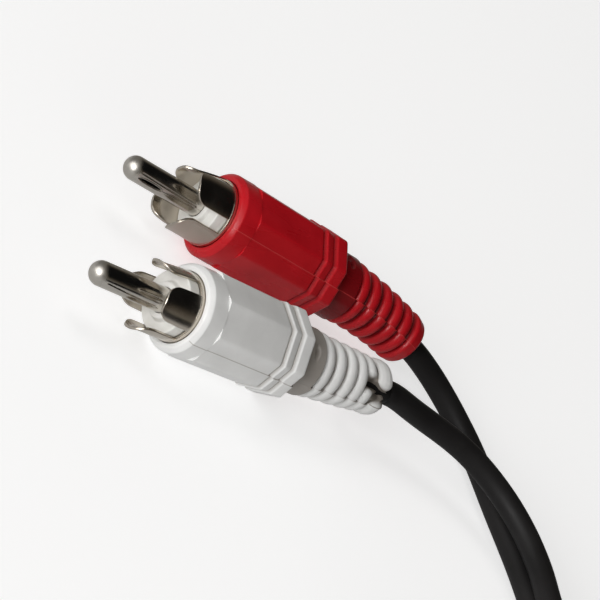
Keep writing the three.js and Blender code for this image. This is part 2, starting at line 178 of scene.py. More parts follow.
def tube(name, line, radius, sides):
    """Round tube along a line that never runs upright: each ring lies across the line, with one axis
    level. The ends are shallow domes."""
    along = np.gradient(line, axis=0)
    along /= np.linalg.norm(along, axis=1)[:, None]
    level = np.cross(along, (0.0, 0.0, 1.0))
    level /= np.linalg.norm(level, axis=1)[:, None]
    high = np.cross(level, along)
    turn = np.linspace(0.0, 2.0 * math.pi, sides, endpoint=False)
    ring = level[:, None] * np.cos(turn)[:, None] - high[:, None] * np.sin(turn)[:, None]
    body = line[:, None] + radius * ring
    caps = [line[:1, None] + 0.85 * radius * ring[:1], line[-1:, None] + 0.85 * radius * ring[-1:]]
    caps[0] = caps[0] - 0.15 * along[0]
    caps[1] = caps[1] + 0.15 * along[-1]
    return grid_mesh(name, np.concatenate([caps[0], body, caps[1]]))


def shader(name):
    """A new material with its Principled shader."""
    material = bpy.data.materials.new(name)
    material.use_nodes = True
    return material, material.node_tree, material.node_tree.nodes["Principled BSDF"]


def link_noise(tree, scale, detail=4.0, stretch=(1.0, 1.0, 1.0), rough=0.55):
    """Noise over Object coordinates, the scale in cycles a metre."""
    place = tree.nodes.new("ShaderNodeTexCoord")
    mapping = tree.nodes.new("ShaderNodeMapping")
    mapping.inputs["Scale"].default_value = stretch
    noise = tree.nodes.new("ShaderNodeTexNoise")
    noise.inputs["Scale"].default_value = scale
    noise.inputs["Detail"].default_value = detail
    noise.inputs["Roughness"].default_value = rough
    tree.links.new(place.outputs["Object"], mapping.inputs["Vector"])
    tree.links.new(mapping.outputs["Vector"], noise.inputs["Vector"])
    return noise.outputs["Fac"]


def link_ramp(tree, source, stops):
    """Colour ramp over a source, from (place, colour) pairs."""
    ramp = tree.nodes.new("ShaderNodeValToRGB")
    ramp.color_ramp.elements[0].position = stops[0][0]
    ramp.color_ramp.elements[0].color = (*stops[0][1], 1.0)
    ramp.color_ramp.elements[1].position = stops[-1][0]
    ramp.color_ramp.elements[1].color = (*stops[-1][1], 1.0)
    for at, colour in stops[1:-1]:
        ramp.color_ramp.elements.new(at).color = (*colour, 1.0)
    tree.links.new(source, ramp.inputs["Fac"])
    return ramp.outputs["Color"]


def link_range(tree, source, low, high, first=0.35, last=0.65):
    """A source's middle range mapped to low and high values."""
    span = tree.nodes.new("ShaderNodeMapRange")
    span.inputs["From Min"].default_value = first
    span.inputs["From Max"].default_value = last
    span.inputs["To Min"].default_value = low
    span.inputs["To Max"].default_value = high
    tree.links.new(source, span.inputs["Value"])
    return span.outputs["Result"]


def link_bump(tree, principled, heights):
    """Stacked bumps on a shader, from (source, strength, distance in mm)."""
    below = None
    for source, strength, distance in heights:
        bump = tree.nodes.new("ShaderNodeBump")
        bump.inputs["Strength"].default_value = strength
        bump.inputs["Distance"].default_value = distance * MM
        tree.links.new(source, bump.inputs["Height"])
        if below is not None:
            tree.links.new(below, bump.inputs["Normal"])
        below = bump.outputs["Normal"]
    tree.links.new(below, principled.inputs["Normal"])


jacket, tree, vinyl = shader("black_jacket")
drift = link_noise(tree, 160.0, 3.0)
tree.links.new(
    link_ramp(tree, drift, [(0.3, (0.0095, 0.0088, 0.0088)), (0.7, (0.0150, 0.0140, 0.0140))]),
    vinyl.inputs["Base Color"])
grain = link_noise(tree, 2600.0, 3.0)
tree.links.new(link_range(tree, drift, 0.46, 0.58), vinyl.inputs["Roughness"])
vinyl.inputs["Specular IOR Level"].default_value = 0.18
link_bump(tree, vinyl, [(grain, 0.25, 0.02), (drift, 0.2, 0.05)])

root = "root"
cord_pieces = {}
for cord_name, near, layers, far in (
    ("white", WHITE_NEAR, WHITE_LAYERS, WHITE_FAR),
    ("red", RED_NEAR, RED_LAYERS, RED_FAR),
):
    route = np.concatenate([np.array(near), coil_turns(*layers), np.array(far)])
    route += (0.0, MIDDLE_Y, 0.0)
    line, length = smooth_line(route, CORD_STEP)
    cord = tube(f"{cord_name}_cord", line, CORD_D / 2, 20)
    cord.data.materials.append(jacket)
    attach(cord, root)
    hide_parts(f"{cord_name}_cord_near", f"{cord_name}_coil", f"{cord_name}_cord_far")
    cord_pieces[cord_name] = (cord, line, length)

# The moulded boots.
# Each boot is one shot of soft vinyl moulded over the contacts and the cord: a round collar, an
# eight-sided grip with two steps, a neck, and a ribbed strain relief. The mould's halves sat 0.35 mm
# out of line along the plug, which breaks the ribs at the parting line.

# Where the front of each grip lies, the way the plug faces, and how its relief swings and sags.
PLUGS = {
    "white_near": dict(x=9.905, y=-14.866, z=5.72, yaw=0.0, roll=0.0, swing=0.0, sag=0.67, late=1.7),
    "red_near": dict(x=-9.61, y=-1.836, z=6.0671, yaw=-8.557, roll=29.67, swing=0.95, sag=-1.45, late=2.2),
    "white_far": dict(x=109.906, y=-8.252, z=5.72, yaw=3.0, roll=0.0, swing=0.0, sag=0.0, late=2.0),
    "red_far": dict(x=126.061, y=-10.251, z=5.72, yaw=-2.0, roll=90.0, swing=0.0, sag=0.0, late=2.0),
}
BOOT_LONG, BODY_LONG, BEND_FROM = 32.6, 15.45, 17.0
NECK_R, SUNK_R, BORE_R = 4.37, 1.52, 1.5
HALF_SHIFT = 0.17
DIMPLE_X, DIMPLE_DEGREES, DIMPLE_DEEP = -17.6, 61.0, 0.7
RIDGE_HALF, CLOSE_RIDGE_HALF = 0.88, 0.98
RIDGE_HIGH, GROOVE_DEEP = 0.90, 0.85
# Ridges and end cap, each as its place along the plug and its radius. The close ridges and the thick
# cap are those of the plug whose relief has the window.
RIBS = [(-20.6, 4.2), (-22.8, 4.04), (-25.0, 3.92), (-27.15, 3.8), (-29.2, 3.7)]
CLOSE_RIBS = [(-20.6, 4.2), (-22.8, 4.04), (-24.95, 3.92), (-26.9, 3.8), (-28.6, 3.66)]
CAP = [(-32.6, 1.95), (-32.52, 2.7), (-32.35, 3.15), (-32.1, 3.36), (-31.1, 3.6), (-30.9, 3.62),
       (-30.7, 3.56), (-30.45, 3.3), (-30.25, 2.9)]
THICK_CAP = [(-32.6, 1.9), (-32.4, 2.6), (-32.1, 3.15), (-31.7, 3.48), (-31.2, 3.6), (-30.6, 3.57),
             (-30.0, 3.4), (-29.6, 3.1), (-29.4, 2.7)]
# The grip and collar as a profile: place, corner radius, share of the octagon, rounding. Its last
# rows are the recess round the sleeve and the bore. Shade is painted along the feet of its two steps.
GRIP = [
    (-15.45, 4.36, 0.0, 0.0), (-15.45, 5.95, 1.0, 0.16), (-15.2, 6.115, 1.0, 0.12),
    (-13.72, 6.115, 1.0, 0.12), (-13.22, 5.73, 1.0, 0.06), (-12.95, 5.88, 1.0, 0.12),
    (-11.95, 6.09, 1.0, 0.12), (-11.45, 5.71, 1.0, 0.06), (-11.15, 5.88, 1.0, 0.12),
    (0.0, 6.115, 1.0, 0.05), (0.0, 5.74, 0.0, 0.03),
    (2.4, 5.74, 0.0, 0.14), (3.05, 5.22, 0.0, 0.22), (3.05, 4.62, 0.0, 0.12),
    (1.0, 4.60, 0.0, 0.10), (-2.1, 4.60, 0.0, 0.10), (-2.1, 3.3, 0.0, 0.1),
    (-15.9, 3.3, 0.0, 0.1), (-15.9, 1.5, 0.0, 0.0),
]
BORE_ROWS = 30
STEP_FEET = (-11.45, -13.22)


def lay_plug(points, plug):
    """A plug's own points, x towards the tip, carried to where it lies. Behind the neck the axis
    bends by a power of the distance, with its sections kept square to it. Then the plug is rolled,
    turned and moved."""
    p = np.array(points, float)
    long = BOOT_LONG - BEND_FROM
    back = np.clip((-BEND_FROM - p[..., 0]) / long, 0.0, None)
    roll, yaw = math.radians(plug["roll"]), math.radians(plug["yaw"] - 90.0)
    dy = plug["swing"] * math.cos(roll) + plug["sag"] * math.sin(roll)
    dz = plug["sag"] * math.cos(roll) - plug["swing"] * math.sin(roll)
    share = back ** plug["late"]
    rate = -plug["late"] * back ** (plug["late"] - 1) / long
    slope = np.sqrt(1 + rate ** 2 * (dy ** 2 + dz ** 2))
    lean = (p[..., 1] * dy + p[..., 2] * dz) * rate
    turn = lean * rate / (slope + slope ** 2)
    x = p[..., 0] - lean / slope
    y = p[..., 1] + dy * (share - turn)
    z = p[..., 2] + dz * (share - turn)
    side = y * math.cos(roll) - z * math.sin(roll)
    high = y * math.sin(roll) + z * math.cos(roll)
    return np.stack([
        plug["x"] + x * math.cos(yaw) - side * math.sin(yaw),
        plug["y"] + MIDDLE_Y + x * math.sin(yaw) + side * math.cos(yaw),
        plug["z"] + high,
    ], axis=-1)


def rounded_line(corners, steps=5):
    """A line through corners, each turned over a given distance on a quadratic curve. The last
    column is that distance, and all the others are carried along."""
    c = np.array(corners, float)
    p, reach = c[:, :-1], c[:, -1]
    t = np.linspace(0.0, 1.0, steps)[:, None]
    out = [p[:1]]
    for k in range(1, len(p) - 1):
        to_last, to_next = p[k - 1] - p[k], p[k + 1] - p[k]
        gap_last, gap_next = np.linalg.norm(to_last[:2]), np.linalg.norm(to_next[:2])
        start = p[k] + to_last * min(0.45, reach[k] / gap_last)
        end = p[k] + to_next * min(0.45, reach[k] / gap_next)
        out.append((1 - t) ** 2 * start + 2 * t * (1 - t) * p[k] + t ** 2 * end)
    out.append(p[-1:])
    return np.concatenate(out)


def octagon(turn):
    """Distance to the side of an octagon with corners just blunted, as a share of its corner
    radius. Flats face 0, 45, 90 degrees and so on, and a high power mean blunts the corners."""
    blunt = 90
    facing = np.cos(turn[:, None] - np.radians(45.0 * np.arange(8))[None])
    soft = (np.clip(facing, 0.0, None) ** blunt).sum(1) ** (1 / blunt)
    return math.cos(math.pi / 8) / soft


def mould_half(turn):
    """Which half of the mould made each bearing, -1 or 1, with a short slope at the parting line."""
    return np.where(np.sin(turn) > 0.0, 1.0, -1.0) * np.clip(np.abs(np.sin(turn)) / 0.004, 0.0, 1.0)


def finger(degrees, xs, tip, root, at, wide):
    """How far a ridge or cap has run out, from 0 where it is whole to 1 and more past its end: the
    run-out begins a finger's half width before each of the two bearings, and a half ellipse rounds
    the finger's end."""
    degrees_a_mm = 16.5
    reach = degrees_a_mm * wide
    upper = (tip + reach - degrees) / reach
    lower = (degrees - root + reach) / reach
    past = np.clip(np.where(degrees > (tip + root) / 2, upper, lower), 0.0, None)
    return past / np.sqrt(np.clip(1.0 - ((xs - at) / (1.12 * wide)) ** 2, 0.02, 1.0))


def relief_height(x, turn, window):
    """Radius of the neck and ribs, and a share of painted shade that grows as a point lies deeper below
    the ridge tops and covers the neck and its dimple. The radius is the highest of a grooved cone,
    round-topped ridges and the end cap. With the window, the last ridge and the cap end in fingers,
    and between them the grooves are sunk to the cord."""
    ribs, end = (CLOSE_RIBS, THICK_CAP) if window else (RIBS, CAP)
    xs = x[:, None] - HALF_SHIFT * mould_half(turn)[None]
    degrees = np.degrees(turn)[None] + 0 * xs
    crest = np.interp(xs, *np.transpose(ribs[::-1]))
    neck = np.clip((xs + 19.62) / 0.32, 0.0, 1.0)
    neck = neck * neck * (3 - 2 * neck)
    height = (crest - GROOVE_DEEP) * (1 - neck) + NECK_R * neck
    turned = degrees - DIMPLE_DEGREES
    dimple = np.exp(-((((xs - DIMPLE_X) / 0.42) ** 2 + (turned / 11.5) ** 2) ** 2))
    lip = np.exp(-(((xs - DIMPLE_X - 0.5) / 0.14) ** 2 + (turned / 12.0) ** 4))
    height = height - DIMPLE_DEEP * dimple + 0.12 * lip
    if window:
        # The window's middle leans 8 degrees a millimetre, and is at 46 degrees beside the last rib.
        away = np.abs(degrees - 46.0 - 8.0 * (xs + 28.5)) * 3.3 * math.pi / 180.0
        away = np.hypot(away, 1.6 * np.clip(xs + 28.3, 0.0, None))
        sunk = np.clip((1.45 - away) / 0.3, 0.0, 1.0) * (xs < -27.4)
        height = height * (1 - sunk) + SUNK_R * sunk
    for k, (at, top) in enumerate(ribs):
        d = (xs - at) / (CLOSE_RIDGE_HALF if window else RIDGE_HALF)
        out = finger(degrees, xs, 56.5, 38.5, at, 0.95) if window and k == 4 else 0.0 * xs
        whole = np.sqrt(np.clip(1.0 - out ** 2, 0.0, 1.0))
        ridge = top - RIDGE_HIGH * (1.0 - np.sqrt(np.clip(1.0 - d ** 2, 0.0, 1.0)))
        ridge = SUNK_R + (ridge - SUNK_R) * whole
        height = np.where(d ** 2 < 1.0, np.maximum(height, ridge), height)
    cap = np.interp(x[:, None] + 0 * xs, *np.transpose(end))
    if window:
        out = finger(degrees, xs, 35.0, 17.5, -31.15, 1.5)
        cap = SUNK_R + (cap - SUNK_R) * np.sqrt(np.clip(1.0 - out ** 2, 0.0, 1.0))
    rear = np.clip((-30.9 - x[:, None]) / 0.3, 0.0, 1.0)
    height = np.where(xs < end[-1][0], np.maximum(cap, height * (1 - rear)), height)
    # Painted shade: full deep in the grooves and over the neck, a little more in the dimple.
    deep = np.clip((crest - height - 0.30) / 0.5, 0.0, 1.0) * (1 - neck)
    return height, deep + (0.88 + 0.12 * dimple) * neck


def boot_points(window, spacing, columns):
    """The whole skin as rings about the plug's axis: the relief from rear to neck, the grip and
    collar from a rounded profile between a circle and an octagon, and the bore back to the rear.
    Also a share of painted shade for the grooves, neck and step feet, and how near each point is to
    the mould's parting line. With the window, the rings beside the cap's finger are tucked in under it."""
    turn = np.linspace(0.0, 2 * math.pi, columns, endpoint=False)
    seam = np.radians([-1.3, -0.9, -0.55, -0.25, 0.25, 0.55, 0.9, 1.3])  # finer beside the parting line
    turn = np.unique(np.round(np.concatenate([turn, seam % (2 * math.pi), seam + math.pi]), 6))
    x = np.arange(-BOOT_LONG, -BODY_LONG - 0.01, spacing)
    relief, deep = relief_height(x, turn, window)
    grip = rounded_line(GRIP)
    radius = grip[:, 1:2] * (1 - grip[:, 2:3] + grip[:, 2:3] * octagon(turn)[None])
    r = np.concatenate([relief, radius, np.full((1, len(turn)), BORE_R)])
    across = np.concatenate([x, grip[:, 0], [-BOOT_LONG]])
    off = np.abs(np.sin(turn)) * 5.5
    flash = 0.022 * np.exp(-((off / 0.08) ** 2))
    outside = np.arange(len(across)) < len(x) + len(grip) - BORE_ROWS
    r = r + flash[None] * outside[:, None]
    foot = np.clip((-9.6 - across) / 0.8, 0.0, 1.0) * outside * (np.arange(len(across)) >= len(x))
    grid_x = across[:, None] + HALF_SHIFT * foot[:, None] * mould_half(turn)[None]
    if window:
        low = np.clip((3.1 - r) / 0.8, 0.0, 1.0) * outside[:, None]
        near_cap = np.clip((-29.0 - across) / 0.4, 0.0, 1.0) * np.clip((across + 31.6) / 0.8, 0.0, 1.0)
        grid_x = grid_x - 1.5 * low * near_cap[:, None]
    # Painted shade along the feet of the two steps.
    valley = sum(np.exp(-(((grip[:, 0] - at) / 0.1) ** 2)) for at in STEP_FEET)
    valley = np.concatenate([0.8 * valley, [0.0]])[:, None] + 0.0 * turn[None]
    deep = np.concatenate([deep, valley])
    parting = np.exp(-((off / 0.05) ** 2))[None] * outside[:, None]
    return np.stack([grid_x, r * np.cos(turn), r * np.sin(turn)], axis=-1), deep, parting


def link_layer(tree, attribute, below, colour):
    """A colour laid over the one below by the share that an attribute gives."""
    share = tree.nodes.new("ShaderNodeAttribute")
    share.attribute_name = attribute
    layer = tree.nodes.new("ShaderNodeMix")
    layer.data_type = "RGBA"
    layer.inputs["B"].default_value = (*colour, 1.0)
    tree.links.new(share.outputs["Fac"], layer.inputs["Factor"])
    tree.links.new(below, layer.inputs["A"])
    return layer.outputs["Result"]


def vinyl_finish(name, dark, light, groove_shade, line, rough, specular):
    """Moulded vinyl: cloudy colour, painted shade laid over it where the attribute groove is high, the
    parting line in a shade of its own, a fine spark-eroded grain and faint flow marks along the plug."""
    material, tree, skin = shader(name)
    cloud = link_noise(tree, 220.0, 5.0)
    fine = link_noise(tree, 5200.0, 4.0)
    flow = link_noise(tree, 260.0, 3.0, (1.0, 0.18, 1.0))
    # Painted shade: a dark colour laid over the vinyl by the groove attribute, in the grooves, over the
    # neck and its dimple and at the step feet.
    shaded = link_layer(tree, "groove", link_ramp(tree, cloud, [(0.3, dark), (0.72, light)]), groove_shade)
    tree.links.new(link_layer(tree, "parting", shaded, line), skin.inputs["Base Color"])
    tree.links.new(link_range(tree, flow, rough - 0.05, rough + 0.07), skin.inputs["Roughness"])
    skin.inputs["Specular IOR Level"].default_value = specular
    link_bump(tree, skin, [(fine, 0.30, 0.02), (flow, 0.06, 0.05)])
    return material


# The third colour of each vinyl is the painted shade of its grooves, neck and step feet.
white_vinyl = vinyl_finish(
    "white_vinyl", (0.72, 0.72, 0.71), (0.81, 0.81, 0.80), (0.28, 0.25, 0.22),
    (0.34, 0.31, 0.28), 0.38, 0.42)
red_vinyl = vinyl_finish(
    "red_vinyl", (0.42, 0.006, 0.011), (0.52, 0.010, 0.017), (0.15, 0.004, 0.006),
    (0.56, 0.05, 0.05), 0.28, 0.27)

for name, plug in PLUGS.items():
    near = name.endswith("near")
    fine_grid = (0.09, 192) if near else (0.15, 96)
    points, deep, parting = boot_points(name == "white_near", *fine_grid)
    boot = grid_mesh(f"{name}_grip", lay_plug(points, plug), False)
    # The groove attribute carries the painted shade of the grooves, neck, dimple and step feet.
    boot.data.attributes.new("groove", "FLOAT", "POINT").data.foreach_set("value", deep.ravel())
    boot.data.attributes.new("parting", "FLOAT", "POINT").data.foreach_set("value", parting.ravel())
    boot.data.materials.append(white_vinyl if name.startswith("white") else red_vinyl)
    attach(boot, root)
    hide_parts(f"{name}_boot")

# The cord's moulded-in ends.
# The jacket runs on inside each boot to the cavity behind the contacts, bent with the relief. On the
# near white plug a stretch of it shows where the moulding missed.

JACKET_ENDS_AT = -16.1

for name, plug in PLUGS.items():
    x = np.linspace(-BOOT_LONG - 1.0, JACKET_ENDS_AT, 60)
    end = tube(f"{name}_jacket_end", lay_plug(np.stack([x, 0 * x, 0 * x], axis=1), plug), CORD_D / 2, 24)
    end.data.materials.append(jacket)
    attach(end, root)
    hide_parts(f"{name}_lead_end")

# The outer contacts.
# A drawn sleeve of nickel-plated brass sheet, slotted into four petals that are pinched in and
# turned out at the tips, so that it grips the socket.

SLEEVE_R, SLEEVE_WALL, SLEEVE_REAR = 4.55, 0.36, -1.8
SLOT_WIDE, SLOT_FROM, SLOT_TURN = 2.1, 3.55, -7.5
PETAL_R, PETAL_CORNER = 4.45, 2.05
# The petals' outer radius along the plug. Then where each plug's petals end, and how far each of the
# four leans out at its tip.
PETAL_LINE = [(3.0, 4.55), (5.2, 4.45), (7.2, 4.33), (8.0, 4.30), (8.6, 4.35), (9.3, 4.46)]
PETALS = {
    "white_near": (8.85, (0.0, -0.05, 0.0, 0.35)), "red_near": (9.3, (0.0, -0.75, 0.1, 0.3)),
    "white_far": (9.0, (0.0, 0.0, 0.0, 0.0)), "red_far": (9.0, (0.0, 0.0, 0.0, 0.0)),
}


def petal_points(quarter, tip, lean, columns, rows):
    """One petal as a closed sheet: rings across its width go along the outside and back along the
    inside, and the width narrows on a quarter ellipse at each tip corner. It leans in or out by a
    power of the distance from the slots' ends."""
    bend = np.linspace(0.0, math.pi / 2, 14)
    x = np.concatenate([
        np.linspace(SLOT_FROM - 0.25, tip - PETAL_CORNER, rows, endpoint=False),
        tip - PETAL_CORNER + PETAL_CORNER * np.sin(bend),
    ])
    lost = np.concatenate([np.zeros(rows), PETAL_CORNER * (1 - np.cos(bend))])
    half = PETAL_R * math.pi / 4 - SLOT_WIDE / 2 - lost
    u = np.sin(np.linspace(-1.0, 1.0, columns) * math.pi / 2)
    angle = half[:, None] * u[None] / PETAL_R + math.radians(SLOT_TURN + 45.0 + 90.0 * quarter)
    out = np.interp(x, *np.transpose(PETAL_LINE))
    out = out + lean * (np.clip(x - SLOT_FROM, 0.0, None) / (tip - SLOT_FROM)) ** 1.5
    edge = np.where(np.abs(u) > 0.999, 0.10, 0.0)[None]
    outer = out[:, None] - edge
    inner = out[:, None] - SLEEVE_WALL + edge
    r = np.concatenate([outer, inner[:, ::-1]], axis=1)
    a = np.concatenate([angle, angle[:, ::-1]], axis=1)
    grid_x = np.broadcast_to(x[:, None], r.shape)
    return np.stack([grid_x, r * np.cos(a), r * np.sin(a)], axis=-1)


def collar_of_sleeve(columns):
    """The unslotted rear of the sleeve as rings: outside line forward, inside line back."""
    inside = SLEEVE_R - SLEEVE_WALL
    corners = [
        (SLEEVE_REAR, SLEEVE_R - 0.15, 0.0), (SLEEVE_REAR, SLEEVE_R, 0.08), (SLOT_FROM, SLEEVE_R, 0.06),
        (SLOT_FROM, inside, 0.06), (SLEEVE_REAR, inside, 0.06), (SLEEVE_REAR, SLEEVE_R - 0.16, 0.0),
    ]
    line = rounded_line(corners)
    turn = np.linspace(0.0, 2 * math.pi, columns, endpoint=False)
    r = line[:, 1:2] + 0.0 * turn[None]
    grid_x = np.broadcast_to(line[:, :1], r.shape)
    return np.stack([grid_x, r * np.cos(turn), r * np.sin(turn)], axis=-1)


def link_math(tree, operation, *terms):
    """One step of arithmetic on terms, each a number or a node's output."""
    node = tree.nodes.new("ShaderNodeMath")
    node.operation = operation
    for socket, term in zip(node.inputs, terms):
        if isinstance(term, float):
            socket.default_value = term
        else:
            tree.links.new(term, socket)
    return node.outputs[0]


def nickel_finish(name, colour, rough):
    """Bright nickel plate over sheet brass: faint drawing lines along the plug and handling haze, a
    satin look where the attribute worn is high, and near-black painted shade where inside is high."""
    material, tree, plate = shader(name)
    haze = link_noise(tree, 420.0, 5.0)
    lines = link_noise(tree, 3800.0, 3.0, (1.0, 0.05, 1.0))
    bright = link_ramp(tree, haze, [(0.3, tuple(0.90 * c for c in colour)), (0.7, colour)])
    # Painted shade: near black where the attribute inside is high, deep in the pin's opening.
    tree.links.new(link_layer(tree, "inside", bright, (0.012, 0.009, 0.008)), plate.inputs["Base Color"])
    worn = tree.nodes.new("ShaderNodeAttribute")
    worn.attribute_name = "worn"
    hazy = link_range(tree, haze, rough - 0.03, rough + 0.05)
    dull = link_math(tree, "MULTIPLY_ADD", worn.outputs["Fac"], 0.19, hazy)
    tree.links.new(dull, plate.inputs["Roughness"])
    plate.inputs["Metallic"].default_value = 1.0
    link_bump(tree, plate, [(lines, 0.03, 0.01), (haze, 0.01, 0.03)])
    return material


nickel = nickel_finish("nickel_plate", (0.62, 0.565, 0.49), 0.20)

for name, plug in PLUGS.items():
    near = name.endswith("near")
    parts = [grid_mesh(f"{name}_contact", lay_plug(collar_of_sleeve(96 if near else 48), plug), False)]
    for quarter in range(4):
        tip, leans = PETALS[name]
        sheet = petal_points(quarter, tip, leans[quarter], 25 if near else 13, 16 if near else 8)
        parts.append(grid_mesh(f"{name}_petal_{quarter}", lay_plug(sheet, plug)))
    for part in parts:
        part.data.materials.append(nickel)
    with bpy.context.temp_override(active_object=parts[0], selected_editable_objects=parts):
        bpy.ops.object.join()
    contact = parts[0]
    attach(contact, root)
    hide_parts(f"{name}_sleeve")

# The centre pins.
# Each pin is rolled from nickel-plated sheet and drawn to a round tip. The rolled edges meet in a
# seam along the pin, which gapes in one place and has fine creases beside it.

PIN_R, PIN_REAR, PIN_BALL = 1.6, -1.8, 16.26


def off_bearing(degrees, bearing):
    """Distance round the pin from a bearing, in millimetres and with its sign."""
    return ((degrees - bearing + 180.0) % 360.0 - 180.0) * PIN_R * math.pi / 180.0


def groove(x, degrees, ends, at, width, depth):
    """A narrow valley along the pin from one end to the other, its bearing given at both ends."""
    off = off_bearing(degrees, np.interp(x, ends, at))
    run = np.clip((x - ends[0]) / 0.25, 0.0, 1.0) * np.clip((ends[1] - x) / 0.25, 0.0, 1.0)
    return depth * np.exp(-((off / width) ** 2)) * run


def pin_points(valleys, lens, columns, rows):
    """The pin as rings: a straight stem and a quarter-round tip, less the valleys of its seam and
    a lens-shaped opening that is widest at its middle and has a raised lip along one side. Also a
    share of painted shade, full where the opening is deep."""
    bend = np.linspace(0.0, math.pi / 2, 20)[1:-1]
    x = np.concatenate([np.linspace(PIN_REAR, PIN_BALL, rows), PIN_BALL + PIN_R * np.sin(bend)])
    r = np.concatenate([np.full(rows, PIN_R), PIN_R * np.cos(bend)])
    r[:2] *= (0.55, 1.0)
    turn = np.linspace(0.0, 2 * math.pi, columns, endpoint=False)
    degrees = np.degrees(turn)[None]
    xs = x[:, None]
    deep = np.zeros((len(x), columns))
    for valley in valleys:
        deep = np.maximum(deep, groove(xs, degrees, *valley))
    low, high, bearing, wide, depth = lens
    middle, reach = (low + high) / 2, (high - low) / 2
    belly = np.sqrt(np.clip(1 - ((xs - middle) / reach) ** 2, 0.0, 1.0))
    open_here = belly > 0.05
    off = off_bearing(degrees, bearing)
    rim = np.abs(off) - wide / 2 * belly
    deep = np.maximum(deep, depth * np.clip(-rim / 0.07, 0.0, 1.0) * open_here)
    lip = np.exp(-(((rim - 0.08) / 0.06) ** 2)) * (off > 0.0) * open_here
    deep = deep - 0.05 * lip * (deep < 0.01)
    radius = r[:, None] - deep * (r[:, None] / PIN_R)
    grid_x = np.broadcast_to(xs, radius.shape)
    points = np.stack([grid_x, radius * np.cos(turn), radius * np.sin(turn)], axis=-1)
    return points, np.clip((deep - 0.25) / 0.2, 0.0, 1.0)


# Each valley: its two ends along the pin, its bearing at both, its width and its depth. Then the
# opening: its two ends, bearing, width and depth.
RED_SEAM = ([
    ((6.6, 16.1), (-11.0, 0.0), 0.07, 0.14), ((11.5, 16.0), (-53.0, -50.0), 0.05, 0.07),
    ((5.2, 12.3), (-16.0, -28.0), 0.06, 0.10),
], (12.1, 16.1, -30.0, 0.62, 0.8))
WHITE_SEAM = ([
    ((6.8, 16.0), (-10.0, 8.0), 0.07, 0.14), ((7.0, 11.0), (22.0, 33.0), 0.05, 0.07),
], (6.9, 11.0, 33.0, 0.34, 0.22))

pin_plate = nickel_finish("pin_plate", (0.64, 0.61, 0.56), 0.17)

for name, plug in PLUGS.items():
    near = name.endswith("near")
    seam = WHITE_SEAM if name.startswith("white") else RED_SEAM
    points, inside = pin_points(*seam, *((240, 300) if near else (72, 80)))
    pin = grid_mesh(f"{name}_centre_pin", lay_plug(points, plug))
    worn = np.clip((points[..., 0].ravel() - PIN_BALL) / 0.5, 0.0, 1.0)
    worn = np.concatenate([[0.0], worn, [1.0]])
    inside = np.concatenate([[0.0], inside.ravel(), [0.0]])
    pin.data.attributes.new("worn", "FLOAT", "POINT").data.foreach_set("value", worn)
    # The attribute inside holds the painted shade of the pin's opening.
    pin.data.attributes.new("inside", "FLOAT", "POINT").data.foreach_set("value", inside)
    pin.data.materials.append(pin_plate)
    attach(pin, root)
    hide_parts(f"{name}_pin")

# The insulators.
# An off-white moulded disc across each sleeve, with a low boss round the pin and a stem behind it.

INSULATOR = [
    (-1.4, 1.70, 0.0), (-1.4, 2.45, 0.10), (3.5, 2.45, 0.15), (3.5, 4.12, 0.10),
    (5.15, 4.12, 0.22), (5.15, 2.60, 0.20), (5.75, 2.35, 0.18), (5.75, 1.66, 0.08), (-1.4, 1.66, 0.0),
]
ivory, tree, moulding = shader("insulator_moulding")
cloud = link_noise(tree, 500.0, 4.0)
tree.links.new(
    link_ramp(tree, cloud, [(0.3, (0.67, 0.66, 0.62)), (0.7, (0.76, 0.75, 0.72))]),
    moulding.inputs["Base Color"])
tree.links.new(link_range(tree, cloud, 0.38, 0.52), moulding.inputs["Roughness"])
link_bump(tree, moulding, [(link_noise(tree, 4200.0, 3.0), 0.2, 0.02)])

for name, plug in PLUGS.items():
    line = rounded_line(INSULATOR)
    turn = np.linspace(0.0, 2 * math.pi, 96 if name.endswith("near") else 48, endpoint=False)
    rings = np.stack([
        np.broadcast_to(line[:, :1], (len(line), len(turn))),
        line[:, 1:2] * np.cos(turn), line[:, 1:2] * np.sin(turn),
    ], axis=-1)
    disc = grid_mesh(f"{name}_disc", lay_plug(rings, plug), False)
    disc.data.materials.append(ivory)
    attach(disc, root)
    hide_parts(f"{name}_insulator")

# Inside the boots.
# Behind the contacts each conductor keeps its natural polythene cover, and the screen's copper
# strands are gathered into one lead. Both are hidden by the boot.

cover, tree, skin = shader("polythene_cover")
cloud = link_noise(tree, 700.0, 4.0)
tree.links.new(
    link_ramp(tree, cloud, [(0.3, (0.70, 0.69, 0.64)), (0.7, (0.80, 0.79, 0.74))]),
    skin.inputs["Base Color"])
tree.links.new(link_range(tree, cloud, 0.35, 0.5), skin.inputs["Roughness"])
link_bump(tree, skin, [(cloud, 0.2, 0.03)])

copper, tree, strands = shader("copper_strands")
lay_lines = link_noise(tree, 3000.0, 3.0, (1.0, 0.25, 1.0))
tree.links.new(
    link_ramp(tree, lay_lines, [(0.3, (0.55, 0.25, 0.13)), (0.7, (0.75, 0.38, 0.22))]),
    strands.inputs["Base Color"])
tree.links.new(link_range(tree, lay_lines, 0.25, 0.4), strands.inputs["Roughness"])
strands.inputs["Metallic"].default_value = 1.0
link_bump(tree, strands, [(lay_lines, 0.5, 0.08)])

for name in PLUGS:
    for node, finish in ((f"{name}_conductor", cover), (f"{name}_screen", copper)):
        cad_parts[node].data.materials.clear()
        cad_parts[node].data.materials.append(finish)

# The tie.
# A flat satin-black strap that is drawn tight round the turns of both coils on the side away from
# the cords' ends, so that they keep together.

tie_finish, tree, strap_skin = shader("strap_nylon")
cloud = link_noise(tree, 300.0, 4.0)
tree.links.new(
    link_ramp(tree, cloud, [(0.3, (0.012, 0.012, 0.012)), (0.7, (0.022, 0.022, 0.023))]),
    strap_skin.inputs["Base Color"])
tree.links.new(link_range(tree, cloud, 0.38, 0.5), strap_skin.inputs["Roughness"])
link_bump(tree, strap_skin, [(link_noise(tree, 3000.0, 2.0), 0.3, 0.03)])

